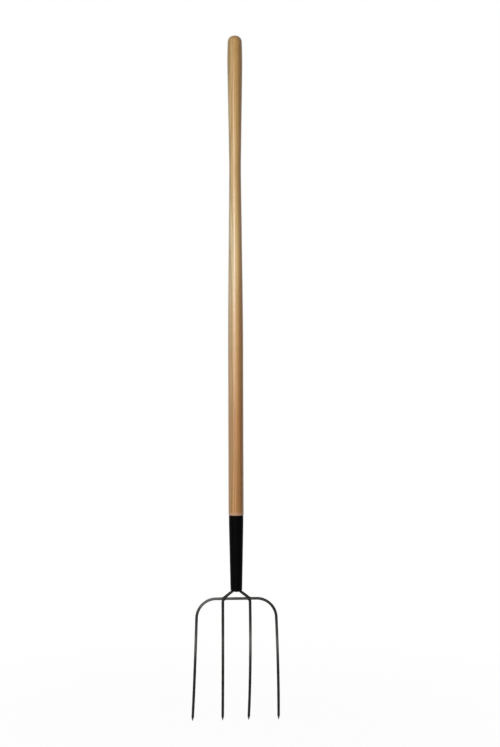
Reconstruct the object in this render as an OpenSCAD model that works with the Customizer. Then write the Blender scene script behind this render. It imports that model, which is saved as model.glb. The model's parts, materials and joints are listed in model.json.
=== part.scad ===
// Long-handled manure fork with four tines: a turned ash handle, a steel ferrule and a head of welded rods.
// Millimetres. Z runs up the handle, and the origin is on its axis at the lower end of the straight shank.
// X runs across the tines, and the points of the tines curve towards +Y.

/* [Handle] */
// Length of wood that shows above the ferrule
handle_above = 1198; // [1000:1:1400]
// Diameter of the straight shank above the ferrule
shank_d = 38; // [36:0.5:42]
// Height above the ferrule at which the shank starts to taper
shank_l = 470; // [300:10:500]
// Diameter at which the two tapers meet at the waist
waist_d = 29.2; // [25:0.2:34]
// Distance from the top end down to the waist
waist_drop = 328; // [220:2:400]
// Diameter at which the tapers of the grip meet at its fullest
swell_d = 38.6; // [35:0.2:42]
// Distance from the top end down to the fullest part of the grip
swell_drop = 52; // [46:1:90]
// Diameter of the top end before it is rounded
end_d = 34.4; // [31:0.2:38]
// How far the rounding of the top end reaches down and inwards
end_round = 15; // [6:1:15]
// How far the smooth bend at the top of the shank reaches
shank_blend = 60; // [10:1:80]
// How far the smooth bend at the waist reaches
waist_blend = 24; // [10:1:80]
// How far the smooth bend at the fullest part of the grip reaches
swell_blend = 30; // [10:1:30]
// Rounding of the shoulder that sits on the ferrule
shoulder_r = 2; // [0.5:0.1:2.2]

/* [Ferrule] */
// Length of the ferrule from its rim to its mouth at the legs
ferrule_l = 188; // [140:1:230]
// Outside diameter of the collar at the rim
rim_d = 36; // [34:0.1:37]
// Length of the straight collar under the rim
collar_l = 20; // [5:1:50]
// Outside diameter at the mouth
mouth_d = 29.2; // [25:0.1:32]
// Wall of the ferrule
ferrule_wall = 1.5; // [1.2:0.1:2.5]
// Rounding of the rim
rim_edge = 1; // [0.2:0.1:1]
// How much lower the mouth hangs in front of and behind the legs
mouth_dip = 2.2; // [0.5:0.1:3]

/* [Head] */
// Diameter of the rods at the bar, the legs and the tang
rod_d = 7; // [6:0.1:8]
// Width of a tine just above its point
tine_w = 6.8; // [4:0.1:8]
// Thickness of a tine just above its point
tine_t = 7; // [4:0.1:8]
// Length of the ground point at the end of a tine
point_l = 13; // [6:1:30]
// Blunt width left at the very tip
point_d = 1.6; // [0.6:0.1:2]
// Length of a tine along its curve, from the bar to the tip
tine_l = 330; // [260:1:360]
// Distance between the outer tines where their lines meet the bar's line
bow_w = 196; // [170:1:230]
// Distance between the tips of the outer tines
bow_tip_w = 219; // [180:1:250]
// How far the bow's corner bends reach along the bar and along the tines
bow_bend = 47; // [20:1:58]
// Distance between the inner tines at the bar
inner_w = 68; // [56:1:72]
// Distance between the tips of the inner tines
inner_tip_w = 66; // [50:1:80]
// How far each inner tine bows outwards half way down
inner_belly = 0.7; // [0:0.1:3]
// Slope of the legs below level, between the ferrule and the bar
leg_angle = 37; // [32:1:42]
// How far the bends at both ends of a leg reach
leg_bend = 9; // [3:0.5:11]
// Backward lean of the head at the bar
back_angle = 10; // [2:1:16]
// Forward lean of the tines at their tips
tip_angle = 30; // [10:1:40]
// Depth of the flat seats where the inner tines lie on the bow
seat_depth = 0.8; // [0.3:0.1:1.2]

/* [Joints] */
// Length of the tang inside the handle
tang_l = 110; // [80:1:150]
// Diameter of each half of the tang at its top end
tang_top_d = 4.5; // [3:0.1:6]
// Length over which the tang tapers to its top end
tang_taper = 28; // [10:1:35]
// Room above the crotch of the tang, up to the wood
crotch_room = 17; // [14:1:25]
// Diameter of the rivet through the ferrule, the wood and the tang
rivet_d = 3.2; // [2.5:0.1:4]
// Height of the rivet above the lower end of the wood
rivet_up = 58; // [40:1:65]
// Radius of the weld between an inner tine and the bow
weld_r = 5; // [4.6:0.1:6]
// Radius of the weld between the two halves of the tang
tang_weld_r = 4; // [3.5:0.1:5]
// How far the tang weld sits below the point where the legs' centre lines meet
tang_weld_drop = 3; // [2:0.5:4]
// Clearance between the wood and the ferrule
ferrule_gap = 0.1; // [0:0.05:0.3]
// Clearance between the tang and its slot in the wood
tang_gap = 0.15; // [0.05:0.05:0.4]
// Clearance between the two halves of the tang
half_gap = 0.1; // [0.05:0.05:0.3]
// Clearance between the legs and the mouth of the ferrule
mouth_gap = 0.3; // [0.1:0.1:1]
// Clearance around the rivet
rivet_gap = 0.05; // [0:0.05:0.2]

/* [Hidden] */
$fn = 96;

ash = [0.74, 0.57, 0.37];
black_paint = [0.05, 0.05, 0.05];
dark_steel = [0.27, 0.27, 0.26];
weld_steel = [0.32, 0.31, 0.30];

// Steps in a bend, sides of a rod and the longest step along a curved tine
bend_steps = 8;
rod_sides = 20;
tine_step = 14;
// How far a cut runs past the face that it opens
cut_past = 1;

// Heights on the handle's axis
rim_z = -shoulder_r;
mouth_z = rim_z - ferrule_l;
lip_z = mouth_z - mouth_dip;
spigot_z = mouth_z + crotch_room;
handle_top = rim_z + handle_above;
tang_top = spigot_z + tang_l;
rivet_z = spigot_z + rivet_up;

// Sizes of the head that follow from the ones above
rod_r = rod_d / 2;
neck_s = tine_l - point_l;
tang_x = rod_r + half_gap / 2;
mouth_inner_r = mouth_d / 2 - ferrule_wall;
seat_off = rod_r - seat_depth;
bow_off = 2 * seat_off;
leg_rise = inner_w / 2 * tan(leg_angle);
// Radius of the bends in a leg, and how far inside the line of its tine a leg crosses the bar
leg_bend_r = leg_bend / tan((90 - leg_angle) / 2);
cross_in = leg_bend_r - sqrt(pow(leg_bend_r, 2) - pow(leg_bend, 2));
cross_u = inner_w / 2 - cross_in;
// Height at which the legs' centre lines would meet: the legs clear the ferrule's mouth by mouth_gap
crotch_z = mouth_z - (rod_r + mouth_gap) / cos(leg_angle) + mouth_inner_r * tan(leg_angle);
// Radii of the two arcs that the head follows in side view: one down the legs, one down the tines
leg_arc = leg_rise / back_angle * 180 / PI;
tine_arc = tine_l / (back_angle + tip_angle) * 180 / PI;
bar_y = -leg_arc * (1 - cos(back_angle));
bar_z = crotch_z - leg_arc * sin(back_angle);

// Outside radius of the ferrule at a height
function ferrule_r(z) =
    let (down = max(0, rim_z - collar_l - z))
    rim_d / 2 - (rim_d - mouth_d) / 2 * down / (ferrule_l - collar_l);

// Points of a round bend at corner c, between a and b, which meets both sides at reach from it
function bend(a, c, b, reach) =
    let (to_a = (a - c) / norm(a - c),
         to_b = (b - c) / norm(b - c),
         half = acos(to_a * to_b) / 2,
         turn = 180 - 2 * half,
         middle = c + (to_a + to_b) / norm(to_a + to_b) * reach / cos(half),
         p = c + reach * to_a - middle,
         q = c + reach * to_b - middle)
    [for (i = [0 : bend_steps]) let (f = turn * i / bend_steps)
        middle + (p * sin(turn - f) + q * sin(f)) / sin(turn)];

// A path through corners, with a bend at each one between the first and the last
function bent_path(corners, reaches) =
    let (last = len(corners) - 1)
    [corners[0],
     for (i = [1 : last - 1]) each bend(corners[i - 1], corners[i], corners[i + 1], reaches[i - 1]),
     corners[last]];

// The same path with no step longer than the given one
function stepped(path, step) =
    [for (i = [0 : len(path) - 2])
        let (a = path[i], b = path[i + 1], n = max(1, ceil(norm(b - a) / step)))
        each [for (k = [0 : n - 1]) a + (b - a) * k / n],
     path[len(path) - 1]];

// The head is laid out flat: u across, and s down from the bar along the side view's curve.
// Lean of that curve at s, forwards from straight down
function lean(s) =
    s <= -leg_rise ? 0 :
    s < 0 ? -back_angle * (s + leg_rise) / leg_rise :
    -back_angle + (back_angle + tip_angle) * s / tine_l;

// Where the outer and the right inner tine run across the flat layout at s
function outer_u(s) = (bow_w + (bow_tip_w - bow_w) * s / tine_l) / 2;
function inner_u(s) =
    let (t = s / tine_l)
    (inner_w + (inner_tip_w - inner_w) * t) / 2 + 4 * inner_belly * t * (1 - t);

// The point of the head at [u, s], moved forwards off the curve by off
function head_point(u, s, off = 0) =
    let (a = lean(s),
         y = s < 0 ? -leg_arc * (1 - cos(a)) : bar_y + tine_arc * (cos(back_angle) - cos(a)),
         z = s <= -leg_rise ? crotch_z - leg_rise - s :
             s < 0 ? crotch_z + leg_arc * sin(a) :
             bar_z - tine_arc * (sin(a) + sin(back_angle)))
    [u, y + off * cos(a), z + off * sin(a)];

// Half the width or thickness of a rod at s: whole down to the bar, drawn thinner, then ground to a point
function drawn(s, size) =
    s <= 0 ? rod_r :
    s <= neck_s ? rod_r + (size / 2 - rod_r) * s / neck_s :
    point_d / 2 + (size - point_d) / 2 * (tine_l - s) / point_l;

// A ring of points around the flat path's point i, where off moves the rod off the head's curve
function ring(path, i, off, half_w, half_t) =
    let (p = path[i],
         before = path[max(0, i - 1)],
         after = path[min(len(path) - 1, i + 1)],
         t = (after - before) / norm(after - before),
         a = lean(p[1]),
         across = [t[1], -t[0] * sin(a), t[0] * cos(a)],
         through = [0, cos(a), sin(a)],
         centre = head_point(p[0], p[1], off))
    [for (k = [0 : rod_sides - 1]) let (f = 360 * k / rod_sides)
        centre + half_w * cos(f) * across + half_t * sin(f) * through];

// A closed solid through rings of points
module skin(rings) {
    n = rod_sides;
    last = len(rings) - 1;
    polyhedron(
        points = [for (r = rings) each r],
        faces = [
            [for (k = [0 : n - 1]) k],
            for (i = [0 : last - 1], k = [0 : n - 1])
                each [[i * n + k, (i + 1) * n + k, i * n + (k + 1) % n],
                      [i * n + (k + 1) % n, (i + 1) * n + k, (i + 1) * n + (k + 1) % n]],
            [for (k = [n - 1 : -1 : 0]) last * n + k]
        ]
    );
}

// Puts children on the head at [u, s], with Y pointing forwards off the head
module on_head(u, s) {
    translate(head_point(u, s)) rotate([lean(s), 0, 0]) children();
}

// The hole or shank of the rivet, across the whole ferrule
module rivet_bar(d) {
    translate([0, 0, rivet_z]) rotate([0, 90, 0]) cylinder(d = d, h = 2 * rim_d, center = true);
}

// Turned handle with its waist, swelled grip and the spigot that fills the ferrule
module handle() {
    grip = bent_path(
        [[shank_d / 2, 0],
         [shank_d / 2, shank_l],
         [waist_d / 2, handle_top - waist_drop],
         [swell_d / 2, handle_top - swell_drop],
         [end_d / 2, handle_top],
         [0, handle_top]],
        [shank_blend, waist_blend, swell_blend, end_round]);
    shoulder = [for (i = [1 : bend_steps]) let (f = 90 * i / bend_steps)
        [shank_d / 2 - shoulder_r * (1 - cos(f)), -shoulder_r * sin(f)]];
    spigot = [for (z = [rim_z, rim_z - collar_l, spigot_z])
        [ferrule_r(z) - ferrule_wall - ferrule_gap, z]];
    color(ash)
        difference() {
            rotate_extrude()
                polygon([[0, spigot_z], each [for (i = [2 : -1 : 0]) spigot[i]],
                         each [for (i = [bend_steps - 1 : -1 : 0]) shoulder[i]], each grip]);
            tang_slot();
            rivet_bar(rivet_d + 2 * rivet_gap);
        }
}

// Slot in the lower end of the handle that takes both halves of the tang
module tang_slot() {
    r = rod_r + tang_gap;
    translate([0, 0, spigot_z - cut_past])
        linear_extrude(cut_past + tang_l + tang_gap) {
            for (side = [-1, 1]) translate([side * tang_x, 0]) circle(r);
            square([2 * tang_x, 2 * r], center = true);
        }
}

// Tapered steel tube over the lower end of the handle
module ferrule() {
    rim_r = rim_d / 2;
    lip_r = ferrule_r(lip_z);
    rounding = [for (i = [bend_steps : -1 : 0]) let (f = 90 * i / bend_steps)
        [rim_r - rim_edge * (1 - cos(f)), rim_z - rim_edge * (1 - sin(f))]];
    color(black_paint)
        difference() {
            rotate_extrude()
                polygon([[rim_r - ferrule_wall, rim_z],
                         each rounding,
                         [rim_r, rim_z - collar_l],
                         [lip_r, lip_z],
                         [lip_r - ferrule_wall, lip_z],
                         [rim_r - ferrule_wall, rim_z - collar_l]]);
            mouth_cut();
            rivet_bar(rivet_d + 2 * rivet_gap);
        }
}

// All below the ferrule's mouth, whose edge rises in a wide arc from its front and back to the legs
module mouth_cut() {
    r = (pow(mouth_inner_r, 2) + pow(mouth_dip, 2)) / (2 * mouth_dip);
    height = cut_past + 2 * mouth_dip;
    difference() {
        translate([-rim_d / 2, -rim_d / 2, lip_z - cut_past]) cube([rim_d, rim_d, height]);
        translate([0, 0, lip_z + r]) rotate([90, 0, 0]) cylinder(r = r, h = 2 * rim_d, center = true);
    }
}

// Rod of one inner tine: half of the tang, a leg and the tine, with a flat seat for the bow
module inner_tine(side) {
    tang_s = -leg_rise - (tang_top - crotch_z);
    steps = ceil(neck_s / tine_step);
    tine = [for (i = [1 : steps]) let (s = neck_s * i / steps) [inner_u(s), s]];
    upper = bent_path(
        [[tang_x, tang_s], [tang_x, tang_x * tan(leg_angle) - leg_rise], [inner_w / 2, 0], tine[0]],
        [leg_bend, leg_bend]);
    right = [each stepped(upper, tine_step), each [for (i = [1 : steps - 1]) tine[i]],
             [inner_u(tine_l), tine_l]];
    path = [for (p = right) [side * p[0], p[1]]];
    color(dark_steel)
        difference() {
            skin([for (i = [0 : len(path) - 1])
                let (s = path[i][1],
                     thin = max(0, 1 - (s - tang_s) / tang_taper) * (rod_r - tang_top_d / 2))
                ring(path, i, 0, drawn(s, tine_w) - thin, drawn(s, tine_t) - thin)]);
            seat_cut(side * cross_u, seat_off);
            rivet_bar(rivet_d + 2 * rivet_gap);
        }
}

// Bent rod of the two outer tines and the bar between them, with flat seats for the inner tines
module outer_tine_bow() {
    upper = bent_path([[0, 0], [outer_u(0), 0], [outer_u(neck_s), neck_s]], [bow_bend]);
    right = [each stepped(upper, tine_step), [outer_u(tine_l), tine_l]];
    path = [for (i = [len(right) - 1 : -1 : 1]) [-right[i][0], right[i][1]], each right];
    color(dark_steel)
        difference() {
            skin([for (i = [0 : len(path) - 1])
                let (s = path[i][1])
                ring(path, i, bow_off * (1 - s / tine_l), drawn(s, tine_w), drawn(s, tine_t))]);
            for (side = [-1, 1]) seat_cut(side * cross_u, seat_off - rod_d);
        }
}

// Block that cuts a flat seat into a rod at the bar, one rod diameter deep from off
module seat_cut(u, off) {
    on_head(u, 0) translate([-rod_d, off, -rod_d]) cube([2 * rod_d, rod_d, 2 * rod_d]);
}

// Rivet that locks the ferrule, the handle and both halves of the tang, ground flush with the ferrule
module tang_rivet() {
    color(black_paint)
        intersection() {
            rivet_bar(rivet_d);
            rotate_extrude()
                polygon([[0, rim_z - collar_l], [rim_d / 2, rim_z - collar_l],
                         [mouth_d / 2, mouth_z], [0, mouth_z]]);
        }
}

// Whole ring of rod as bent at both ends of a leg, lying in the plane of X and Z
module bent_ring() {
    rotate([90, 0, 0]) rotate_extrude() translate([leg_bend_r, 0]) circle(rod_r);
}

// Weld in the crotch, between the two halves of the tang
module tang_weld() {
    bend_top = crotch_z - tang_x * tan(leg_angle) + leg_bend;
    color(weld_steel)
        difference() {
            translate([0, 0, crotch_z - tang_weld_drop]) sphere(tang_weld_r);
            for (side = [-1, 1]) {
                translate([side * tang_x, 0, bend_top]) cylinder(r = rod_r, h = rod_d);
                translate([side * (tang_x + leg_bend_r), 0, bend_top]) bent_ring();
            }
        }
}

// Weld around the seat where an inner tine crosses the bow
module bow_weld(side) {
    color(weld_steel)
        on_head(side * cross_u, 0)
            difference() {
                translate([0, seat_off, 0]) sphere(weld_r);
                translate([side * (cross_in - leg_bend_r), 0, -leg_bend]) bent_ring();
                translate([0, bow_off, 0])
                    rotate([0, 90, 0]) cylinder(r = rod_r, h = 4 * weld_r, center = true);
            }
}

handle();
ferrule();
inner_tine(-1);  // left_inner_tine
inner_tine(1);  // right_inner_tine
outer_tine_bow();
tang_rivet();
tang_weld();
bow_weld(-1);  // left_bow_weld
bow_weld(1);  // right_bow_weld
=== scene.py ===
# %% [markdown]
# # A manure fork in its finished surfaces
# A manure fork is a long turned ash pole, a black ferrule and a head of four slim steel tines. The
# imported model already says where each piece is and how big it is. This lesson gives each piece its
# finished surface and its material, and then sets up a small studio around it. Nothing is moved: the
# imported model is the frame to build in.

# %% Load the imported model
import json

import bpy
import numpy as np
from mathutils import Matrix, Vector


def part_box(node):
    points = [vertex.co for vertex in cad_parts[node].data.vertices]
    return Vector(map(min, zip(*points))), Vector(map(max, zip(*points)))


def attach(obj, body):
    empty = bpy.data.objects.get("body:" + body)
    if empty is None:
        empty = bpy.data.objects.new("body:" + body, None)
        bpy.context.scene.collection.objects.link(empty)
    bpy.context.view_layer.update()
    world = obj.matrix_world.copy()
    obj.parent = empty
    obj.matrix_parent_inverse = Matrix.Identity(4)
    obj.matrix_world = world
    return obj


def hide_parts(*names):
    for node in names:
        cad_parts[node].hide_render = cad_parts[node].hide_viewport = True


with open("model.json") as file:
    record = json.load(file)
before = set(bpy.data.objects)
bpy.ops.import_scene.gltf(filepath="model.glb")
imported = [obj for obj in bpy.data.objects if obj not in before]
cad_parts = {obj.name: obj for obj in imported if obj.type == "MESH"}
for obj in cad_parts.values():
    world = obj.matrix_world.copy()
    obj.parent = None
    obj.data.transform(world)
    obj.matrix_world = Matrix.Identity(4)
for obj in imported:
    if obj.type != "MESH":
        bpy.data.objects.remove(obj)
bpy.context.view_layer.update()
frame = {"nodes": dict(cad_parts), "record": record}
print("packed nodes:", ", ".join(sorted(frame["nodes"])))

# %% [markdown]
# ## Sizes
# The fork was drawn in millimetres and Blender works in metres, so lengths are written in millimetres
# and multiplied by MM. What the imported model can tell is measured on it: its mount gives the shank's
# radius, and the boxes of its nodes give the ends of the pole, the ferrule, the rivet and the tines.
# Only the sizes in between are written out again, each near the place that first needs it.

# %% Measure the frame
MM = 0.001
shank_r = frame["record"]["mounts"][0]["dims"]["r_mm"] * MM
handle_low, handle_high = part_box("handle")
ferrule_low, ferrule_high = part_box("ferrule")
rivet_low, rivet_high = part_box("tang_rivet")
bow_low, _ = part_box("outer_tine_bow")
spigot_z, handle_top = handle_low.z, handle_high.z
lip_z, rim_z = ferrule_low.z, ferrule_high.z
rim_r = ferrule_high.x
floor_z = bow_low.z
print(f"pole to {handle_top:.3f} m, ferrule {lip_z:.3f} to {rim_z:.3f} m, tips at {floor_z:.3f} m")

# %% [markdown]
# ## Paths with rounded corners
# A turner's profile and a bent rod are both straight runs joined by arcs. So one helper rounds the
# corners of a path, and another adds points to it until it is fine enough to carry a smooth surface.
# A Bezier curve would do as well, but with true arcs the radius at each bend is known.

# %% Path helpers
ARC_STEPS = 16


def arc_at(before, corner, after, reach):
    """Arc at a corner, which meets both of its sides at reach from it. About the arc's middle the two
    end radii turn into one another: each point mixes them by the sine of the angle left and the sine
    of the angle gone."""
    to_before = (before - corner) / np.linalg.norm(before - corner)
    to_after = (after - corner) / np.linalg.norm(after - corner)
    half = np.arccos(to_before @ to_after) / 2
    turn = np.pi - 2 * half
    bisector = (to_before + to_after) / np.linalg.norm(to_before + to_after)
    middle = corner + bisector * reach / np.cos(half)
    first = corner + reach * to_before - middle
    last = corner + reach * to_after - middle
    gone = np.linspace(0, turn, ARC_STEPS + 1)[:, None]
    return middle + (first * np.sin(turn - gone) + last * np.sin(gone)) / np.sin(turn)


def rounded(corners, reaches):
    """Path through corners, with an arc at every corner between the first and the last."""
    corners = np.array(corners, float)
    threes = zip(corners, corners[1:], corners[2:], reaches)
    arcs = [arc_at(*three, reach) for *three, reach in threes]
    return np.vstack([corners[:1], *arcs, corners[-1:]])


def stepped(path, step):
    """The same path with points added evenly, so that no step is longer than the given one."""
    counts = np.ceil(np.linalg.norm(np.diff(path, axis=0), axis=1) / step).astype(int)
    steps = zip(path, path[1:], counts)
    runs = [np.linspace(start, end, count, endpoint=False) for start, end, count in steps]
    return np.vstack([*runs, path[-1:]])


print(f"a rounded corner takes {ARC_STEPS + 1} points")

# %% [markdown]
# ## From a grid of points to a closed mesh
# Every piece is a sheet of points, with rows along it and columns around it. The columns always close
# into a ring. The rows either close too, as on a tube's wall, or they end in a pole in the middle of
# the first and last ring. Which way the faces point follows from the volume that they enclose: if it
# comes out negative, every face is turned. Blender could recalculate the normals instead, but the
# volume needs no edit mode and is exact.

# %% Faces of a grid
def quad_corners(rows, columns, rows_close):
    """Four point numbers for each face between neighbouring rows and neighbouring columns."""
    number = np.arange(rows * columns).reshape(rows, columns)
    number = np.hstack([number, number[:, :1]])
    if rows_close:
        number = np.vstack([number, number[:1]])
    corners = [number[:-1, :-1], number[:-1, 1:], number[1:, 1:], number[1:, :-1]]
    return np.stack(corners, axis=-1).reshape(-1, 4)


def pole_corners(rows, columns):
    """Triangles from each pole to the ring beside it: the poles are numbered after the grid's points."""
    ring = np.arange(columns)
    following = np.roll(ring, -1)
    last = (rows - 1) * columns
    pole = np.full(columns, rows * columns)
    start = np.stack([pole, following, ring], axis=-1)
    end = np.stack([pole + 1, last + ring, last + following], axis=-1)
    return np.vstack([start, end])


between, at_poles = len(quad_corners(3, 8, False)), len(pole_corners(3, 8))
print(f"3 rings of 8 points have {between} faces between them and {at_poles} at the poles")

# %% Mesh helper
def with_poles(grid, rows_close):
    """The grid's values as one list, and after them, where there are poles, the mean of the first and
    of the last ring."""
    values = grid.reshape(-1, *grid.shape[2:])
    return values if rows_close else np.concatenate([values, grid[[0, -1]].mean(axis=1)])


def enclosed(points, triangles):
    """Volume inside the faces: the sum of the pyramids that stand on them with their tips at the origin,
    each a sixth of its three edges' triple product."""
    first, second, third = points[triangles.T]
    return np.einsum("ij,ij->i", first, np.cross(second, third)).sum() / 6


def make_piece(name, grid, rows_close=False, marks=None):
    """Smooth closed mesh from a grid of points [row, column, xyz]. marks are values on the same grid,
    which go along as the mesh's own attributes for a material to read."""
    rows, columns = grid.shape[:2]
    points = with_poles(grid, rows_close)
    quads = quad_corners(rows, columns, rows_close)
    fans = np.empty((0, 3), int) if rows_close else pole_corners(rows, columns)
    triangles = np.vstack([quads[:, [0, 1, 2]], quads[:, [0, 2, 3]], fans])
    if enclosed(points, triangles) < 0:
        quads, fans = quads[:, ::-1], fans[:, ::-1]
    mesh = bpy.data.meshes.new(name)
    mesh.from_pydata(points.tolist(), [], quads.tolist() + fans.tolist())
    mesh.shade_smooth()
    for mark, values in (marks or {}).items():
        flat = with_poles(values, rows_close).astype(np.float32)
        kind, field = ("FLOAT_VECTOR", "vector") if flat.ndim == 2 else ("FLOAT", "value")
        mesh.attributes.new(mark, kind, "POINT").data.foreach_set(field, flat.ravel())
    piece = bpy.data.objects.new(name, mesh)
    bpy.context.scene.collection.objects.link(piece)
    print(f"{name}: {len(points)} points, {len(triangles)} triangles")
    return piece


print("made:", ", ".join(helper.__name__ for helper in (with_poles, enclosed, make_piece)))

# %% [markdown]
# ## The ash pole
# The handle is turned from one straight ash pole. It is straight above the ferrule, tapers to a waist,
# swells to a grip and ends in a rounded nose. Below the shoulder a spigot fills the ferrule, with a
# slot for the tang in its end. Spinning a profile gives the outside, but not the slot, which isn't
# round. So each row says how round it is: 0 is the outline of the slot, 1 is a circle, and the rows
# across the lower end go from one to the other.

# %% Profile of the pole
shank_l, waist_drop, swell_drop = 470 * MM, 328 * MM, 52 * MM
waist_r, swell_r, end_r = 14.6 * MM, 19.3 * MM, 17.2 * MM
shank_blend, waist_blend, swell_blend, nose_round = 60 * MM, 24 * MM, 30 * MM, 15 * MM
collar_l, ferrule_wall, wood_gap = 20 * MM, 1.5 * MM, 0.1 * MM
mouth_r, mouth_dip = 14.6 * MM, 2.2 * MM
collar_ease, rim_corner, profile_step = 5 * MM, 0.3 * MM, 3 * MM
# The shoulder's arc ends just below the origin, where the straight shank begins
shoulder_share = 0.99
shoulder_round = -shoulder_share * rim_z
collar_z, mouth_z = rim_z - collar_l, lip_z + mouth_dip
mouth_inner_r = mouth_r - ferrule_wall
collar_wood_r = rim_r - ferrule_wall - wood_gap
spigot_r = np.interp(spigot_z, [mouth_z, collar_z], [mouth_inner_r - wood_gap, collar_wood_r])
pole_outline = [
    (spigot_r, spigot_z), (collar_wood_r, collar_z), (collar_wood_r, rim_z), (shank_r, rim_z),
    (shank_r, shank_l), (waist_r, handle_top - waist_drop), (swell_r, handle_top - swell_drop),
    (end_r, handle_top), (0, handle_top)]
pole_rounds = [
    collar_ease, rim_corner, shoulder_round, shank_blend, waist_blend, swell_blend, nose_round]
pole_profile = stepped(rounded(pole_outline, pole_rounds), profile_step)[:-1]
profile_r, profile_z = pole_profile.T
waist_found = profile_r[(profile_z > shank_l) & (profile_z < handle_top - swell_drop)].min()
print(f"profile of {len(pole_profile)} points, waist {2 * waist_found / MM:.1f} mm wide")

# %% Unevenness and slot
rod_r, halves_gap, tang_gap = 3.5 * MM, 0.1 * MM, 0.15 * MM
tang_x, slot_r = rod_r + halves_gap / 2, rod_r + tang_gap
wave_h, wave_start, thrice_share = 0.09 * MM, 60 * MM, 0.6
twice_l, fade_l, thrice_l = 70 * MM, 41 * MM, 95 * MM


def slot_reach(angle):
    """How far the slot reaches from the axis in a direction: to its flat side, which is its half width
    over the sine, or past that to its round end, where the direction leaves the circle about a tang."""
    across, along = np.abs(np.sin(angle)), np.abs(np.cos(angle))
    side = slot_r / np.maximum(across, np.finfo(float).eps)
    end = tang_x * along + np.sqrt(np.maximum(slot_r**2 - (tang_x * across) ** 2, 0))
    return np.where(side * along <= tang_x, side, end)


def unevenness(angle, z):
    """Sanding leaves the pole a little out of round: a wave twice around it, which comes and goes along
    it, and a lower one three times around it. Both grow from nothing at the shoulder."""
    twice = np.sin(2 * angle + z / twice_l) * np.sin(z / fade_l)
    thrice = np.sin(3 * angle - z / thrice_l)
    return wave_h * (twice + thrice_share * thrice) * np.clip(z / wave_start, 0, 1)


print(f"slot {2 * slot_reach(0) / MM:.2f} by {2 * slot_reach(np.pi / 2) / MM:.2f} mm")

# %% Surface of the pole
tang_l = 110 * MM
slot_rows, face_rows, pole_columns = 24, 8, 96
slot_z = np.linspace(spigot_z + tang_l + tang_gap, spigot_z, slot_rows)
face = np.linspace(0, 1, face_rows)[1:-1]
row_z = np.concatenate([slot_z, np.full(len(face), spigot_z), profile_z])[:, None]
row_r = np.concatenate([np.full(len(slot_z) + len(face), spigot_r), profile_r])[:, None]
roundness = np.concatenate([np.zeros(len(slot_z)), face, np.ones(len(pole_profile))])[:, None]
turn = np.linspace(0, 2 * np.pi, pole_columns, endpoint=False)[None, :]
pole_reach = (1 - roundness) * slot_reach(turn) + roundness * row_r + unevenness(turn, row_z)
pole_grid = np.stack(
    [pole_reach * np.cos(turn), pole_reach * np.sin(turn), row_z + 0 * turn], axis=-1)
ash_pole = make_piece("ash_pole", pole_grid)

# %% [markdown]
# ## The ferrule
# The ferrule is a steel tube, straight at its collar and then tapered, which keeps the wood from
# splitting. A spun profile with a Solidify modifier would give it a wall, but with square edges, and
# paint never covers a sharp edge. So the wall is a closed outline of its own with soft corners, up the
# inside and down the outside, and the grid closes both ways, as a ring does. The mouth rises at both
# sides, where the legs come out: the rows near it are lifted by the square of the distance from the
# middle.

# %% Surface of the ferrule
edge_round, inner_edge, collar_blend, dip_reach = 1 * MM, 0.4 * MM, 9 * MM, 25 * MM
lip_r = mouth_r - (rim_r - mouth_r) * mouth_dip / (collar_z - mouth_z)
collar_inside = (rim_r - ferrule_wall, (rim_z + collar_z) / 2)
wall_corners = [
    collar_inside, (rim_r - ferrule_wall, rim_z), (rim_r, rim_z), (rim_r, collar_z), (lip_r, lip_z),
    (lip_r - ferrule_wall, lip_z), (rim_r - ferrule_wall, collar_z), collar_inside]
wall_rounds = [inner_edge, edge_round, collar_blend, edge_round, inner_edge, collar_blend]
wall_outline = stepped(rounded(wall_corners, wall_rounds), profile_step)[:-1]
wall_r, wall_z = wall_outline[:, :1], wall_outline[:, 1:]
near_lip = np.clip(1 - (wall_z - lip_z) / dip_reach, 0, 1)
mouth_rise = mouth_dip * near_lip**2 * (wall_r * np.cos(turn) / mouth_inner_r) ** 2
ferrule_grid = np.stack(
    [wall_r * np.cos(turn), wall_r * np.sin(turn), wall_z + mouth_rise], axis=-1)
painted_ferrule = make_piece("painted_ferrule", ferrule_grid, rows_close=True)

# %% [markdown]
# ## The curve of the head
# Seen from the side, the head leans back a little at the bar and then sweeps forwards to the tips. A
# Curve modifier could bend finished rods, but it squeezes what lies off its axis. A smith bends the
# rods flat on a bench first and curves the whole head afterwards, and the surface is made the same
# way: a rod is laid out flat, with u across and s down from the bar, and this cell says where a flat
# point goes on the curved head.

# %% Bend the flat layout
tine_l, inner_half = 330 * MM, 34 * MM
back_lean, tip_lean, leg_slope = np.radians([10, 30, 37])
mouth_gap = 0.3 * MM
leg_rise = inner_half * np.tan(leg_slope)
leg_arc = leg_rise / back_lean
tine_arc = tine_l / (back_lean + tip_lean)
crotch_z = mouth_z - (rod_r + mouth_gap) / np.cos(leg_slope) + mouth_inner_r * np.tan(leg_slope)
bar_y = -leg_arc * (1 - np.cos(back_lean))
bar_z = crotch_z - leg_arc * np.sin(back_lean)


def lean(s):
    """Forward lean at s: none on the tang, evenly backwards down the legs, then evenly forwards to the
    tips."""
    legs = -back_lean * (s + leg_rise) / leg_rise
    tines = -back_lean + (back_lean + tip_lean) * s / tine_l
    return np.where(s <= -leg_rise, 0, np.where(s < 0, legs, tines))


def through_head(s):
    """Unit vector that points forwards, straight out of the head at s: the lean's cosine and sine."""
    tilt = lean(s)
    return np.stack([0 * tilt, np.cos(tilt), np.sin(tilt)], axis=-1)


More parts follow.
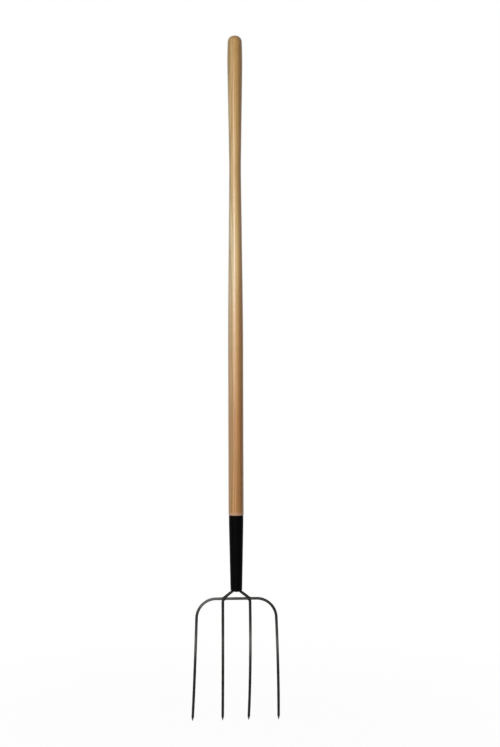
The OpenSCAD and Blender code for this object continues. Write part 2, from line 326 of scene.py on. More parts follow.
def on_head(u, s):
    """Place of the flat point (u, s): straight down the tang, then along one arc for the legs and one
    for the tines. An arc's place is its radius times the sine and the cosine of the lean."""
    tilt = lean(s)
    legs_y = -leg_arc * (1 - np.cos(tilt))
    tines_y = bar_y + tine_arc * (np.cos(back_lean) - np.cos(tilt))
    legs_z = np.where(s <= -leg_rise, crotch_z - leg_rise - s, crotch_z + leg_arc * np.sin(tilt))
    tines_z = bar_z - tine_arc * (np.sin(tilt) + np.sin(back_lean))
    y, z = np.where(s < 0, legs_y, tines_y), np.where(s < 0, legs_z, tines_z)
    return np.stack([u + 0 * s, y, z], axis=-1)


print(f"bar at {bar_z:.4f} m, tips at {on_head(0, np.array(tine_l)).round(4)}")

# %% [markdown]
# ## Drawn and ground rods
# The rods are round at the bar. Below it they are drawn out a little thinner, and the last stretch is
# ground to a point with four flats. A curve with a round bevel would do for the rod, but not for the
# flats. A section that can be both is a superellipse: a circle at power 2, a diamond at power 1, and
# the point is near the diamond. Hammer and rollers never leave a perfect round, so a slow ripple runs
# down each rod as well.

# %% Section of a rod
tine_w, tine_t = 6.8 * MM, 7 * MM
point_l, point_r, blunt_l = 13 * MM, 0.8 * MM, 0.7 * MM
neck_s = tine_l - point_l
ripple_h, short_ripple, long_ripple = 0.045 * MM, 5.3 * MM, 11.7 * MM
long_share, long_phase = 0.7, 1


def drawn_half(s, size):
    """Half of a rod's size at s: whole above the bar, evenly thinner down to the neck, ground evenly to
    the point, and blunt at its end by a square root."""
    drawn = rod_r + (size / 2 - rod_r) * np.clip(s, 0, neck_s) / neck_s
    ground = point_r + (size / 2 - point_r) * np.clip((tine_l - s) / point_l, 0, 1)
    return np.where(s <= neck_s, drawn, ground) * np.sqrt(np.clip((tine_l - s) / blunt_l, 0, 1))


def ripple(run):
    """Uneven rolling along a rod's run: two waves of different length, a few hundredths of a
    millimetre high."""
    return ripple_h * (np.sin(run / short_ripple) + long_share * np.sin(run / long_ripple + long_phase))


rod_places = np.array([0, neck_s, tine_l - blunt_l])
rod_w, rod_t = (2 * drawn_half(rod_places, size) / MM for size in (tine_w, tine_t))
print("rod at bar, neck and point:", rod_w.round(2), "mm wide,", rod_t.round(2), "mm thick")

# %% Rod along a path
rod_sides, round_power, point_power, power_l = 32, 2, 1.3, 0.4 * point_l
section = np.linspace(0, 2 * np.pi, rod_sides, endpoint=False)[None, :]


def rod_marks(run, p, q, s, highlight):
    """A rod's own straightened coordinates, across, through and along, how far each point is from the
    tip, and how strong the painted highlight is there."""
    return {
        "straight": np.stack([p, q, run + 0 * p], axis=-1),
        "to_tip": np.broadcast_to(tine_l - s, p.shape),
        "highlight": np.broadcast_to(highlight, p.shape)}


def rod_piece(name, path, off, thinner, seat, highlight):
    """Rod along a flat path. Its section is the cosine and the sine, each to 2 over the superellipse's
    power: p goes across and q through the head. thinner takes off at the tang, off moves it forwards off
    the head's curve, seat flattens q where another rod lies against it, and the last argument says
    where the finish paints a highlight."""
    u, s = path[:, :1], path[:, 1:]
    way = np.gradient(path, axis=0)
    way /= np.linalg.norm(way, axis=1, keepdims=True)
    run = np.cumsum(np.linalg.norm(np.diff(path, axis=0, prepend=path[:1]), axis=1))[:, None]
    power = round_power - (round_power - point_power) * np.clip((s - neck_s) / power_l, 0, 1)
    circle = np.cos(section), np.sin(section)
    cos, sin = (np.sign(part) * np.abs(part) ** (2 / power) for part in circle)
    rolled = s < neck_s
    p = (drawn_half(s, tine_w) - thinner + ripple(run) * rolled) * cos
    q = seat(u, s, (drawn_half(s, tine_t) - thinner + ripple(run + point_l) * rolled) * sin)
    tilt = lean(path[:, 1])
    across = np.stack([way[:, 1], -way[:, 0] * np.sin(tilt), way[:, 0] * np.cos(tilt)], axis=-1)
    through = through_head(path[:, 1])
    centre = on_head(path[:, 0], path[:, 1]) + off * through
    grid = centre[:, None] + p[..., None] * across[:, None] + q[..., None] * through[:, None]
    return make_piece(name, grid, marks=rod_marks(run, p, q, s, highlight(u, s)))


print(f"a ring of a rod has {rod_sides} points, and its power falls from {round_power} to {point_power}")

# %% [markdown]
# ## The inner tines
# Each inner tine is one rod from end to end: half of the tang inside the pole, a leg that comes out of
# the ferrule, and the tine itself. It lies on the bar with a flat seat. A Mirror modifier would make
# both rods one piece, but they are two on the fork, so the left rod is the right one with u turned
# round. That turns its faces too, and the mesh helper sets them right again by the volume.

# %% Path of an inner rod
leg_bend, rod_step = 9 * MM, 1.3 * MM
inner_tip_half, inner_belly = 33 * MM, 0.7 * MM
tine_start, point_rows = 14 * MM, 30
tang_s = -leg_rise - (spigot_z + tang_l - crotch_z)


def inner_u(s):
    """Half the distance between the inner tines: even from bar to tip, with a slight belly half way,
    which is a parabola."""
    gone = s / tine_l
    return inner_half + (inner_tip_half - inner_half) * gone + 4 * inner_belly * gone * (1 - gone)


def tine_steps(start):
    """Values of s from start to the tip, even down to the neck and then closer and closer, by the square,
    for a crisp point. The ring of no size at the very tip is left to the pole."""
    even = np.arange(start, neck_s, rod_step)
    to_tip = np.linspace(1, 0, point_rows, endpoint=False)
    return np.concatenate([even, tine_l - point_l * to_tip**2])


tang_end, leg_top = (tang_x, tang_s), (tang_x, tang_x * np.tan(leg_slope) - leg_rise)
leg_corners = [tang_end, leg_top, (inner_half, 0), (inner_u(tine_start), tine_start)]
leg_path = stepped(rounded(leg_corners, [leg_bend, leg_bend]), rod_step)[:-1]
inner_s = tine_steps(tine_start)
inner_path = np.vstack([leg_path, np.stack([inner_u(inner_s), inner_s], axis=-1)])
print(f"inner rod of {len(inner_path)} rings, {len(leg_path)} of them above the tine")

# %% Inner rods
sides = {"left": -1, "right": 1}
tang_top_r, tang_taper = 2.25 * MM, 28 * MM
seat_off, seat_l = 2.7 * MM, 7 * MM
bow_half = 98 * MM
# How strong the painted highlight is on each tine, from left to right
tine_places, tine_highlight_shares = [-bow_half, -inner_half, inner_half, bow_half], [0.8, 0.45, 0.95, 0.75]
highlight_s, highlight_l = 110 * MM, 42 * MM


def inner_seat(u, s, q):
    """The forward side of the rod is flat where it lies on the bow."""
    return np.where(np.abs(s) < seat_l, np.minimum(q, seat_off), q)


def tine_highlight(u, s):
    """Painted highlight on a tine, from 0 to 1: each by its own share, in a bell curve that is highest a
    third of the way down, where a curved tine would show a highlight."""
    return np.interp(u, tine_places, tine_highlight_shares) * np.exp(-(((s - highlight_s) / highlight_l) ** 2))


tang_taken = (rod_r - tang_top_r) * np.clip(1 - (inner_path[:, 1:] - tang_s) / tang_taper, 0, 1)
inner_rods = {
    side: rod_piece(f"inner_tine_rod_{side}", inner_path * (sign, 1), 0, tang_taken, inner_seat, tine_highlight)
    for side, sign in sides.items()}

# %% [markdown]
# ## The bow of the outer tines
# The outer tines and the bar are one rod, bent twice. At the bar it lies on the forward side of the
# inner tines, where both rods are flattened into a seat, and it comes back into line with them at the
# tips, so that all four points end level. Three rods with corners between them would be easier to
# draw, but a seam would show in the steel's streaks. So one path runs through both bends: the right
# half is worked out and then mirrored.

# %% Bow
bow_tip_half, bow_bend = 109.5 * MM, 47 * MM
bow_off = 2 * seat_off
# An inner rod's bend cuts its corner, so it crosses the bar a little further in
leg_bend_r = leg_bend / np.tan((np.pi / 2 - leg_slope) / 2)
cross_u = inner_half - (leg_bend_r - np.sqrt(leg_bend_r**2 - leg_bend**2))
# The bar's painted highlight, strongest at its left end
bar_highlight, bar_highlight_fall, bar_highlight_l = 0.62, 210 * MM, 30 * MM


def outer_u(s):
    """Half the distance between the outer tines, which spread evenly from the bar to the tips."""
    return bow_half + (bow_tip_half - bow_half) * s / tine_l


def bow_seat(u, s, q):
    """The back of the bow is flat where the inner tines lie on it."""
    flat = (np.abs(np.abs(u) - cross_u) < seat_l) & (s < seat_l)
    return np.where(flat, np.maximum(q, -seat_off), q)


def bow_highlight(u, s):
    """The outer tines get the same painted highlight as the inner ones, and the bar gets a painted
    highlight that grows evenly towards its left end, the side the lamps are on."""
    bar = np.clip(bar_highlight - u / bar_highlight_fall, 0, 1) * np.exp(-((s / bar_highlight_l) ** 2))
    return np.maximum(bar, tine_highlight(u, s))


straight_s = bow_bend + tine_start
bow_corner = rounded([(0, 0), (bow_half, 0), (outer_u(straight_s), straight_s)], [bow_bend])
outer_s = tine_steps(straight_s)
half_bow = np.vstack([stepped(bow_corner, rod_step)[:-1], np.stack([outer_u(outer_s), outer_s], axis=-1)])
bow_path = np.vstack([half_bow[:0:-1] * (-1, 1), half_bow])
forwards_off = bow_off * (1 - bow_path[:, 1:] / tine_l)
bow_rod = rod_piece("bow_rod", bow_path, forwards_off, 0, bow_seat, bow_highlight)

# %% [markdown]
# ## Weld beads and the rivet
# The rods are welded where they cross, with a bead that runs once round the seat, and the two halves
# of the tang are welded in the crotch. Blender's own torus and ball would look too even: a bead swells
# and shrinks as the puddle freezes, ripple by ripple, so its thickness is a wave round the ring. The
# rivet through ferrule, wood and tang is ground nearly flush, and only two shallow domes of it show.

# %% Weld beads
bead_r, bead_tube = 4 * MM, 1.35 * MM
bead_corners, corner_fill = 4, 0.12
bead_ripples, ripple_share = 18, 0.08
bead_rows, bead_columns = 144, 20
around = np.linspace(0, 2 * np.pi, bead_rows, endpoint=False)[:, None]
tube = np.linspace(0, 2 * np.pi, bead_columns, endpoint=False)[None, :]


def bead_grid(u):
    """Ring around the seat at u: its tube is fuller in the corners between the rods, by a cosine, and
    rippled all the way, by a sine."""
    filled = 1 - corner_fill * np.cos(bead_corners * around)
    full = bead_tube * (filled + ripple_share * np.sin(bead_ripples * around))
    out = bead_r + full * np.cos(tube)
    forwards = through_head(np.array(0.0))
    upwards = np.array([0, -forwards[2], forwards[1]])
    middle = on_head(u, np.array(0.0)) + seat_off * forwards
    outwards = np.cos(around)[..., None] * np.array([1, 0, 0]) + np.sin(around)[..., None] * upwards
    return middle + out[..., None] * outwards + (full * np.sin(tube))[..., None] * forwards


bow_beads = {
    side: make_piece(f"bow_bead_{side}", bead_grid(sign * cross_u), rows_close=True)
    for side, sign in sides.items()}

# %% Crotch bead and rivet
crotch_r, crotch_drop, crotch_tall, crotch_rows = 4 * MM, 3 * MM, 1.05, 60
crotch_ripple, crotch_ripples = 0.03, 11
dome_h, dome_rows, pin_rows = 0.25 * MM, 9, 12


def crotch_grid():
    """Lump in the crotch: a ball, a little taller than wide, with ripples that run round it from the
    lower end up."""
    up = np.linspace(-np.pi / 2, np.pi / 2, crotch_rows)[1:-1, None]
    rippled = crotch_r * (1 + crotch_ripple * np.sin(crotch_ripples * up + np.cos(turn)))
    shape = [np.cos(up) * np.cos(turn), np.cos(up) * np.sin(turn), crotch_tall * np.sin(up) + 0 * turn]
    return rippled[..., None] * np.stack(shape, axis=-1) + np.array([0, 0, crotch_z - crotch_drop])


def rivet_grid(radius, half_l, z):
    """Pin along X with a shallow dome on each end: the dome's height falls with the square of the
    distance out. The rings of no size at both ends are left to the poles."""
    share = np.sin(np.linspace(0, np.pi / 2, dome_rows))
    dome_x = half_l + dome_h * (1 - share**2)
    pin_x = np.linspace(-half_l, half_l, pin_rows)[1:-1]
    x = np.concatenate([-dome_x, pin_x, dome_x[::-1]])[:, None]
    r = radius * np.concatenate([share, np.ones(len(pin_x)), share[::-1]])[:, None]
    return np.stack([x + 0 * turn, r * np.cos(turn), z + r * np.sin(turn)], axis=-1)[1:-1]


crotch_bead = make_piece("crotch_bead", crotch_grid())
rivet_z, rivet_r = (rivet_low.z + rivet_high.z) / 2, (rivet_high.y - rivet_low.y) / 2
rivet_pin = make_piece("rivet_pin", rivet_grid(rivet_r, rivet_high.x, rivet_z))

# %% [markdown]
# ## Building finishes from nodes
# A finish is a small tree of shader nodes. Writing one by hand takes three lines for each node, so a
# few helpers keep the lesson short: one adds a node with its inputs, and the others are the steps that
# every finish here uses.

# %% Node helpers
def feed(tree, node, inputs):
    """A node's inputs: each is a plain value, or the socket that feeds it."""
    for name, value in inputs.items():
        if isinstance(value, bpy.types.NodeSocket):
            tree.links.new(value, node.inputs[name])
        else:
            node.inputs[name].default_value = value


def put(tree, kind, inputs=None, **settings):
    """A new shader node with its inputs. settings are its options."""
    made = tree.nodes.new("ShaderNode" + kind)
    for option, value in settings.items():
        setattr(made, option, value)
    feed(tree, made, inputs or {})
    return made


def new_finish(name):
    """An empty material, its node tree and its shader."""
    material = bpy.data.materials.new(name)
    material.use_nodes = True
    return material, material.node_tree, material.node_tree.nodes["Principled BSDF"]


def own_place(tree):
    """Where a point is in the piece's own coordinates, which are those of the frame."""
    return put(tree, "TexCoord").outputs["Object"]


def sums(tree, operation, *values):
    """One step of arithmetic on numbers or sockets."""
    return put(tree, "Math", dict(enumerate(values)), operation=operation).outputs[0]


def vectors(tree, operation, *values, output="Vector"):
    """One step of arithmetic on vectors, or on sockets that carry them."""
    return put(tree, "VectorMath", dict(enumerate(values)), operation=operation).outputs[output]


node_helpers = (feed, put, new_finish, own_place, sums, vectors)
print("made:", ", ".join(helper.__name__ for helper in node_helpers))

# %% Pattern helpers
# The Mix node has sockets for every kind of value, and these are the ones for colours
MIX_FACTOR, MIX_UNDER, MIX_OVER, MIX_RESULT = 0, 6, 7, 2


def cloud(tree, place, scale, detail=3, roughness=0.55, output="Fac"):
    """Noise from 0 to 1. scale is one number, or one for each axis: a small one draws the pattern out
    along its axis."""
    scaled = vectors(tree, "MULTIPLY", place, np.broadcast_to(scale, 3).tolist())
    inputs = {"Vector": scaled, "Scale": 1, "Detail": detail, "Roughness": roughness}
    return put(tree, "TexNoise", inputs).outputs[output]


def shades(tree, factor, stops):
    """Colours that follow a factor: each stop is a position and a grey or a colour."""
    made = put(tree, "ValToRGB", {"Fac": factor})
    ramp = made.color_ramp
    while len(ramp.elements) < len(stops):
        ramp.elements.new(1)
    for element, (position, colour) in zip(ramp.elements, stops):
        element.position = position
        element.color = (*np.broadcast_to(colour, 3), 1)
    return made.outputs["Color"]


def laid_over(tree, factor, under, over, way="MIX"):
    """One colour laid over another by a factor, mixed or multiplied."""
    inputs = {MIX_FACTOR: factor, MIX_UNDER: under, MIX_OVER: over}
    return put(tree, "Mix", inputs, data_type="RGBA", blend_type=way).outputs[MIX_RESULT]


def toned(tree, colour, tone):
    """A colour times a tone, which darkens it below 1 and brightens it above."""
    return laid_over(tree, 1, colour, tone, "MULTIPLY")


def bumped(tree, height, distance, strength):
    """Normals with a fine relief."""
    inputs = {"Height": height, "Distance": distance, "Strength": strength}
    return put(tree, "Bump", inputs).outputs["Normal"]


pattern_helpers = (cloud, shades, laid_over, toned, bumped)
print("made:", ", ".join(helper.__name__ for helper in pattern_helpers))

# %% [markdown]
# ## Varnished ash
# Ash has wide growth rings. Each one starts with a band of open pores, which look brown, and goes on in
# smooth pale wood. A pole is split from far outside the pith, so the rings cross it as gentle arcs and
# show as long lines down the pole, with tongues where the taper cuts them. A picture of planks wrapped
# round the pole would show a seam and a wrong end grain. So the pattern is solid: the distance from a
# pith far to one side, divided by the width of a ring. Over the rings lie slow tones, and most of them
# are painted light: a painted sheen makes the left side paler and cooler and lies pale over the middle
# heights, a painted shade makes the right side brown and dark, and a painted highlight runs along the
# shoulder. Up the pole the wood's own tone changes too. Clear varnish over it all is the shader's coat.

# %% Growth rings
ring_w, pith, wander = 3.4 * MM, (52 * MM, 34 * MM, 0), 7 * MM
early_share = [(0, 1), (0.26, 0.85), (0.4, 0.1), (1, 0.25)]
speck_scale, speck_border = (1900, 1900, 42), [(0.57, 0), (0.68, 1)]
# A point times this keeps its place across the pole and loses its height
LEVEL = (1, 1, 0)


def growth_ring(tree, place, sway):
    """How far through its ring a point is, from 0 to 1: its distance from the pith in ring widths,
    without the whole rings. The pith wanders with the sway."""
    swayed = vectors(tree, "MULTIPLY_ADD", sway, (wander, wander, 0), place)
    from_pith = vectors(tree, "MULTIPLY", vectors(tree, "SUBTRACT", swayed, pith), LEVEL)
    distance = vectors(tree, "LENGTH", from_pith, output="Value")
    return sums(tree, "FRACT", sums(tree, "DIVIDE", distance, ring_w))


def open_pores(tree, place, ring):
    """Where the pores are open: short specks along the grain, most of them early in the ring."""
    specks = shades(tree, cloud(tree, place, speck_scale, detail=1), speck_border)
    return sums(tree, "MULTIPLY", shades(tree, ring, early_share), specks)


print(f"about {2 * shank_r / ring_w:.0f} rings across the shank")

# %% Tones and painted light of the pole
pole_w, side_start, side_sway = 40 * MM, 0.35, 12 * MM
tone_h, height_sway, height_scale = 1.25, 0.14, (9, 9, 3)
# Across the pole: a pale, cool painted sheen on the left and a brown painted shade on the right
side_sheen_and_shade = [
    (0, (0.92, 0.92, 0.94)), (0.11, (0.66, 0.80, 0.98)), (0.25, (0.84, 0.95, 1.16)),
    (0.46, (1.05, 1.04, 1.03)), (0.58, (0.88, 0.88, 0.87)), (0.84, (0.60, 0.51, 0.40)),
    (0.97, (0.92, 0.90, 0.85))]
# Up the pole the wood's own tone, with a paler middle that is partly painted sheen
height_tones_and_sheen = [
    (0.08, (0.84, 0.68, 0.48)), (0.24, (0.77, 0.60, 0.42)), (0.42, (0.88, 0.80, 0.65)),
    (0.62, (0.97, 1.04, 0.97)), (0.96, (0.88, 0.86, 0.68))]
# A pale, cool painted sheen over the left and the middle of the pole, at middle heights
sheen_tone, sheen_sides = (1.2, 1.31, 1.58, 1), [(0.5, 1), (0.72, 0)]
sheen_heights = [(0.06, 0), (0.3, 1), (0.54, 1), (0.74, 0)]
# A painted highlight: the lowest 9 mm of wood above the shoulder is paler
edge_l, shoulder_highlight_share, shoulder_highlight = 9 * MM, 0.6, (0.42, 0.27, 0.19, 1)


def pole_toned(tree, wood, place, sway):
    """The wood with its slow tones and painted light: a painted sheen on the left and a painted shade on
    the right, the wood's own tone up the pole with a paler middle that is partly painted sheen, a painted
    sheen over the middle heights, and a painted highlight at the shoulder's edge. Each border sways a
    little."""
    parts = put(tree, "SeparateXYZ", {0: place}).outputs
    across = sums(tree, "MULTIPLY_ADD", sway, side_sway, parts["X"])
    side = sums(tree, "MULTIPLY_ADD", across, 1 / pole_w, side_start)
    wood = toned(tree, wood, shades(tree, side, side_sheen_and_shade))
    height_cloud = cloud(tree, place, height_scale, detail=1)
    swayed = sums(tree, "MULTIPLY_ADD", height_cloud, height_sway, parts["Z"])
    height = sums(tree, "DIVIDE", swayed, tone_h)
    wood = toned(tree, wood, shades(tree, height, height_tones_and_sheen))
    # The painted sheen over the middle heights
    sheen_up, sheen_across = shades(tree, height, sheen_heights), shades(tree, side, sheen_sides)
    painted_sheen = sums(tree, "MULTIPLY", sheen_up, sheen_across)
    wood = laid_over(tree, painted_sheen, wood, sheen_tone, "MULTIPLY")
    # The painted highlight at the shoulder
    paler_part = shades(tree, sums(tree, "DIVIDE", parts["Z"], edge_l), [(0, shoulder_highlight_share), (1, 0)])
    return laid_over(tree, paler_part, wood, shoulder_highlight)


print(f"{len(side_sheen_and_shade)} tones across the pole, {len(height_tones_and_sheen)} up it")

# %% Ash
ring_shades = [
    (0, (0.40, 0.225, 0.092)), (0.16, (0.46, 0.272, 0.115)), (0.34, (0.55, 0.34, 0.155)),
    (0.82, (0.52, 0.315, 0.14)), (1, (0.43, 0.25, 0.10))]
sway_scale, fibre_scale, streak_scale = (14, 14, 2.2), (620, 620, 5), (70, 70, 0.9)
fibre_tones = [(0.25, 0.80), (0.75, 1.16)]
streak_tones = [(0.3, (0.86, 0.82, 0.76)), (0.7, (1.1, 1.11, 1.13))]
pore_brown, pore_depth = (0.19, 0.095, 0.035, 1), 0.55
wood_rough, fibre_rise, grain_h = [(0.3, 0.44), (0.7, 0.56)], 0.4, 0.06 * MM


def ash_finish():
    """Rings with pores in their early wood, fine fibres and streaks along the grain, and slow tones
    with painted sheen, shade and highlight.
    """
    material, tree, shader = new_finish("varnished_ash")
    place = own_place(tree)
    pith_sway = cloud(tree, place, sway_scale, detail=2, roughness=0.5, output="Color")
    ring = growth_ring(tree, place, pith_sway)
    wood = shades(tree, ring, ring_shades)
    fibres = cloud(tree, place, fibre_scale, detail=4)
    wood = toned(tree, wood, shades(tree, fibres, fibre_tones))
    streaks = cloud(tree, place, streak_scale, detail=2)
    wood = toned(tree, wood, shades(tree, streaks, streak_tones))
    pores = open_pores(tree, place, ring)
    wood = laid_over(tree, sums(tree, "MULTIPLY", pores, pore_depth), wood, pore_brown)
    tone_sway = cloud(tree, place, sway_scale, detail=2, roughness=0.5)
    relief = sums(tree, "SUBTRACT", sums(tree, "MULTIPLY", fibres, fibre_rise), pores)
    feed(tree, shader, {
        "Base Color": pole_toned(tree, wood, place, tone_sway),
        "Roughness": shades(tree, fibres, wood_rough),
        "Normal": bumped(tree, relief, grain_h, strength=0.5),
        "Specular IOR Level": 0.15, "Coat Weight": 0.85, "Coat IOR": 1.33, "Coat Roughness": 0.25})
    return material


ash = ash_finish()
print("finish:", ash.name)

# %% [markdown]
# ## Satin black paint
# The ferrule is dipped in black paint, which dries with a fine orange peel and a soft sheen. It is
# thinner on the two edges, where the steel begins to show. Painting that wear by hand would need an
# image. Here a height mask finds the edges, and noise breaks it up, because real wear has no straight
# border.

# %% Black paint
worn_l, worn_steel = 2.5 * MM, (0.035, 0.034, 0.032, 1)
worn_fall, worn_spots = [(0, 1), (0.35, 0.35), (1, 0)], [(0.5, 0), (0.62, 1)]
grit_scale, mottling_scale, peel_scale = 900, (130, 130, 60), 850
black_shades = [(0.3, (0.0008, 0.0008, 0.0007)), (0.7, (0.0016, 0.0015, 0.0015))]
paint_rough, peel_h = [(0.3, 0.36), (0.7, 0.48)], 0.05 * MM


def paint_finish():
    """Black with slow mottling and orange peel, worn towards steel grey in spots along the rim and the
    mouth."""
    material, tree, shader = new_finish("satin_black_paint")
    place = own_place(tree)
    height = put(tree, "SeparateXYZ", {0: place}).outputs["Z"]
    middle, half_l = (rim_z + mouth_z) / 2, (rim_z - mouth_z) / 2
    from_middle = sums(tree, "ABSOLUTE", sums(tree, "SUBTRACT", height, middle))
    to_edge = sums(tree, "DIVIDE", sums(tree, "SUBTRACT", half_l, from_middle), worn_l)
    grit = cloud(tree, place, grit_scale, detail=4, roughness=0.6)
    worn = sums(tree, "MULTIPLY", shades(tree, to_edge, worn_fall), shades(tree, grit, worn_spots))
    mottling = cloud(tree, place, mottling_scale)
    peel = cloud(tree, place, peel_scale, detail=2)
    feed(tree, shader, {
        "Base Color": laid_over(tree, worn, shades(tree, mottling, black_shades), worn_steel),
        "Roughness": shades(tree, mottling, paint_rough),
        "Normal": bumped(tree, peel, peel_h, strength=0.35),
        "Specular IOR Level": 0.02})
    return material


black_paint = paint_finish()
print("finish:", black_paint.name)

# %% [markdown]
# ## Dark drawn steel and weld metal
# The rods are hot-rolled steel with their dark scale left on, under clear lacquer. Rolling leaves
# streaks along the rod, which no pattern in space can follow round the bends. So this finish reads the
# rod's own straightened coordinates, which the mesh carries along. A second mark is a painted highlight:
# it makes the scale paler and greyer towards the left end of the bar and a third of the way down the
# tines. A third one says how far the tip is: the ground points are bare and brighter, with scratches
# across them.

# %% Steel
scale_shades = [
    (0.1, (0.014, 0.014, 0.0125)), (0.6, (0.052, 0.051, 0.047)), (1, (0.105, 0.103, 0.097))]
bare_dark, bare_bright = (0.05, 0.05, 0.048, 1), (0.11, 0.108, 0.103, 1)
rolling_scale, rolling_tones = (900, 900, 14), [(0.3, 0.85), (0.7, 1.15)]
patch_scale, patch_tones = (150, 150, 60), [(0.3, 0.88), (0.7, 1.12)]
tone_noise_scale, tone_noise_share, scratch_scale = 25, 0.2, (300, 300, 2600)
ground_l, ground_ragged, ground_border = 20 * MM, 6 * MM, [(0.55, 1), (0.72, 0)]
steel_rough, streak_h = [(0.3, 0.34), (0.7, 0.48)], 0.05 * MM


def steel_finish():
    """Dark scale with streaks along the rod, paler in random patches and under the painted highlight, and
    bare steel at the ground point."""
    material, tree, shader = new_finish("dark_drawn_steel")
    along = put(tree, "Attribute", attribute_name="straight").outputs["Vector"]
    to_tip = put(tree, "Attribute", attribute_name="to_tip").outputs["Fac"]
    # The painted highlight that the rods carry
    highlight = put(tree, "Attribute", attribute_name="highlight").outputs["Fac"]
    streaks = cloud(tree, along, rolling_scale)
    patches = cloud(tree, along, patch_scale, detail=4, roughness=0.6)
    # The scale's tone: random noise plus the painted highlight
    tone_and_highlight = sums(tree, "MULTIPLY_ADD", cloud(tree, along, tone_noise_scale, detail=2), tone_noise_share, highlight)
    scale = shades(tree, tone_and_highlight, scale_shades)
    scale = toned(tree, scale, shades(tree, streaks, rolling_tones))
    scale = toned(tree, scale, shades(tree, patches, patch_tones))
    scratches = cloud(tree, along, scratch_scale, detail=2)
    paler_part = laid_over(tree, scratches, bare_dark, bare_bright)
    border = sums(tree, "MULTIPLY_ADD", patches, ground_ragged, to_tip)
    ground = shades(tree, sums(tree, "DIVIDE", border, ground_l), ground_border)
    relief = laid_over(tree, ground, streaks, scratches)
    feed(tree, shader, {
        "Base Color": laid_over(tree, ground, scale, paler_part),
        "Roughness": shades(tree, patches, steel_rough),
        "Normal": bumped(tree, relief, streak_h, strength=0.4),
        "Metallic": 0.2, "Specular IOR Level": 0.1})
    return material


steel = steel_finish()
print("finish:", steel.name)

# %% Weld metal
heat_scale, pit_scale, pit_h = 210, 700, 0.1 * MM
heat_tints = [
    (0.32, (0.055, 0.058, 0.066)), (0.5, (0.066, 0.064, 0.060)), (0.68, (0.080, 0.068, 0.052))]
pit_tones, weld_rough = [(0.3, 0.7), (0.7, 1.25)], [(0.3, 0.38), (0.7, 0.55)]


def weld_finish():
    """Weld metal: the same dark grey, with finer pits, and straw and blue tints where it was hottest."""
    material, tree, shader = new_finish("weld_metal")
    place = own_place(tree)
    pits = cloud(tree, place, pit_scale, detail=4)
    heat = shades(tree, cloud(tree, place, heat_scale, detail=1), heat_tints)
    feed(tree, shader, {
        "Base Color": toned(tree, heat, shades(tree, pits, pit_tones)),
        "Roughness": shades(tree, pits, weld_rough),
        "Normal": bumped(tree, pits, pit_h, strength=0.5),
        "Metallic": 0.35, "Specular IOR Level": 0.2})
    return material


weld_metal = weld_finish()
print("finish:", weld_metal.name)

# %% [markdown]
# ## Putting the pieces in place
# The pieces are already where they belong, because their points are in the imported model's own frame.
# What is left is to say what each one is: it rides on the fork's one rigid body, it stands for a node,
# and it takes a finish.

# %% Dress the frame
dressed = [
    (ash_pole, "handle", ash, "ash_handle"),
    (painted_ferrule, "ferrule", black_paint, "black_ferrule"),
    (rivet_pin, "tang_rivet", black_paint, "black_ferrule"),
    (inner_rods["left"], "left_inner_tine", steel, "dark_steel"),
    (inner_rods["right"], "right_inner_tine", steel, "dark_steel"),
    (bow_rod, "outer_tine_bow", steel, "dark_steel"),
    (bow_beads["left"], "left_bow_weld", weld_metal, "weld_steel"),
    (bow_beads["right"], "right_bow_weld", weld_metal, "weld_steel"),
    (crotch_bead, "tang_weld", weld_metal, "weld_steel"),
]
for piece, node, finish, slot in dressed:
    piece.data.materials.append(finish)
    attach(piece, "root")
    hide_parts(node)
print(f"{len(dressed)} pieces stand for {len(frame['nodes'])} nodes")

# %% [markdown]
# ## A white studio
# The fork stands on its points on a pale floor, in front of white. A camera ray, and a ray that metal
# or varnish reflects, sees white all round. Other rays find a dim grey, so the white is there to be
# seen and hardly lights the fork. The floor glows for the same rays. Near the fork a small share of it
# stays matt, which keeps a faint shadow, and further out it is as white as the room.

# %% World and floor
room_light, floor_half = 0.06, 4
corner_signs = [(-1, -1), (1, -1), (1, 1), (-1, 1)]


def seen_directly(tree):
    """1 for rays from the camera and for those that a gloss or a glass sends on, 0 for all other rays."""
    rays = put(tree, "LightPath").outputs
    gloss = sums(tree, "MAXIMUM", rays["Is Glossy Ray"], rays["Is Transmission Ray"])
    return sums(tree, "MAXIMUM", rays["Is Camera Ray"], gloss)


world = bpy.data.worlds.new("white_studio")
world.use_nodes = True
bpy.context.scene.world = world
room = world.node_tree
strength = sums(room, "MULTIPLY_ADD", seen_directly(room), 1 - room_light, room_light)
feed(room, room.nodes["Background"], {"Color": (1, 1, 1, 1), "Strength": strength})

floor_corners = [(x * floor_half, y * floor_half, floor_z) for x, y in corner_signs]
floor_mesh = bpy.data.meshes.new("studio_floor")
floor_mesh.from_pydata(floor_corners, [], [(0, 1, 2, 3)])
floor = bpy.data.objects.new("studio_floor", floor_mesh)
bpy.context.scene.collection.objects.link(floor)
print(f"floor at {floor_z:.4f} m")

# %% Floor finish
floor_glow, fade_far, fade_out = 0.96, 2, [(0.15, 0), (0.6, 1)]
floor_white = (0.9, 0.9, 0.9, 1)


def floor_finish():
    """Matt white that mostly glows for direct rays, and wholly further away from the fork."""
    material, tree, shader = new_finish("studio_floor_white")
    far = vectors(tree, "LENGTH", vectors(tree, "MULTIPLY", own_place(tree), LEVEL), output="Value")
    fade = shades(tree, sums(tree, "DIVIDE", far, fade_far), fade_out)
    glow = sums(tree, "MULTIPLY_ADD", fade, 1 - floor_glow, floor_glow)
    share = sums(tree, "MULTIPLY", seen_directly(tree), glow)
    white = put(tree, "Emission", {"Color": (1, 1, 1, 1), "Strength": 1}).outputs[0]
    mix = put(tree, "MixShader", {0: share, 1: shader.outputs[0], 2: white}).outputs[0]
    feed(tree, tree.nodes["Material Output"], {"Surface": mix})
    feed(tree, shader, {"Base Color": floor_white, "Roughness": 0.9, "Specular IOR Level": 0})
    return material


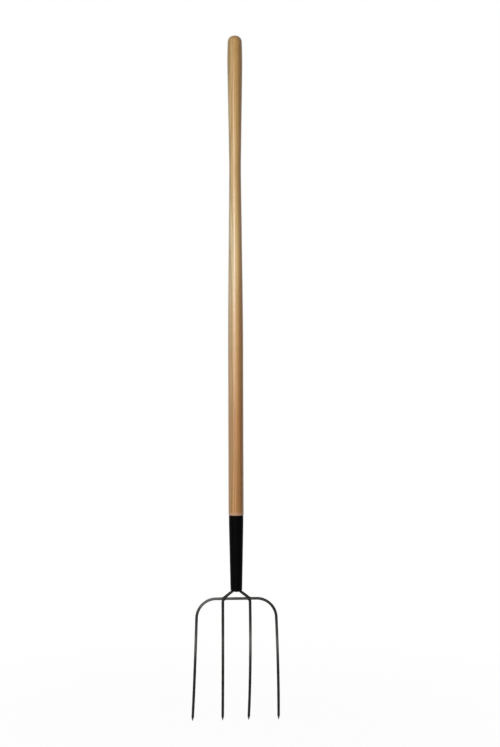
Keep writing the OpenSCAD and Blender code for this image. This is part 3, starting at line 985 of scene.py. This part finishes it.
floor.data.materials.append(floor_finish())
print("finish:", floor.data.materials[0].name)

# %% [markdown]
# ## Lights and camera
# The key softbox stands to the left of the camera, level with the upper half of the pole. It draws the
# narrow bright line on the varnish and leaves the right side darker. A large weak lamp beside it lights
# the head, and a fainter one far to the left keeps the pole's left edge clear. The largest lamp is
# behind the fork on the right, for the back and the far side. It is left out of reflections, or it
# would draw a bright line along the edges. The camera looks level at the middle of the fork, a few
# degrees from its left, and is rolled by a fraction of a degree, as a hand-held one is.

# %% Lights
def softbox(name, azimuth, away, z, size, power):
    """Rectangular lamp around the pole at an azimuth from the camera's side, turned to face the pole."""
    lamp = bpy.data.lights.new(name, "AREA")
    lamp.shape = "RECTANGLE"
    lamp.size, lamp.size_y = size
    lamp.energy = power
    made = bpy.data.objects.new(name, lamp)
    turned = np.radians(azimuth)
    made.location = (away * np.sin(turned), -away * np.cos(turned), z)
    made.rotation_euler = (np.pi / 2, 0, turned)
    bpy.context.scene.collection.objects.link(made)
    return made


lamps = [
    softbox("key_softbox", azimuth=-23.5, away=2.6, z=0.93, size=(0.72, 0.87), power=60),
    softbox("front_softbox", azimuth=-16, away=3.6, z=0.4, size=(2, 2), power=20),
    softbox("side_softbox", azimuth=-84, away=2.2, z=0.92, size=(1.2, 0.9), power=5)]
back_light = softbox("back_softbox", azimuth=150, away=4, z=0.85, size=(4, 2.6), power=110)
back_light.visible_glossy = False
print("lamps:", ", ".join(lamp.name for lamp in [*lamps, back_light]))

# %% Camera
image_w, image_h = 500, 747
pixel = 2.5 * MM
camera_away, camera_azimuth, camera_roll = 3.2, np.radians(-3.5), np.radians(-0.17)
camera_z, pixels_left_of_middle = 351.75 * MM, 14.3
camera_data = bpy.data.cameras.new("camera")
camera_data.sensor_fit = "VERTICAL"
camera_data.lens = camera_data.sensor_height * camera_away / (image_h * pixel)
camera = bpy.data.objects.new("camera", camera_data)
bpy.context.scene.collection.objects.link(camera)
bpy.context.scene.camera = camera
rightwards = Vector((np.cos(camera_azimuth), np.sin(camera_azimuth), 0))
backwards = Vector((np.sin(camera_azimuth), -np.cos(camera_azimuth), 0))
aside = rightwards * pixels_left_of_middle * pixel
stand = backwards * camera_away + aside + Vector((0, 0, camera_z))
level = Matrix((rightwards, Vector((0, 0, 1)), backwards)).transposed().to_4x4()
camera.matrix_world = Matrix.Translation(stand) @ level @ Matrix.Rotation(camera_roll, 4, "Z")
print(f"lens {camera_data.lens:.1f} mm, {image_w} by {image_h} pixels of {pixel / MM} mm at the pole")

# %% [markdown]
# ## The view transform
# Colours render as they are written, through the Standard view transform.

# %% View transform
bpy.context.scene.view_settings.view_transform = "Standard"
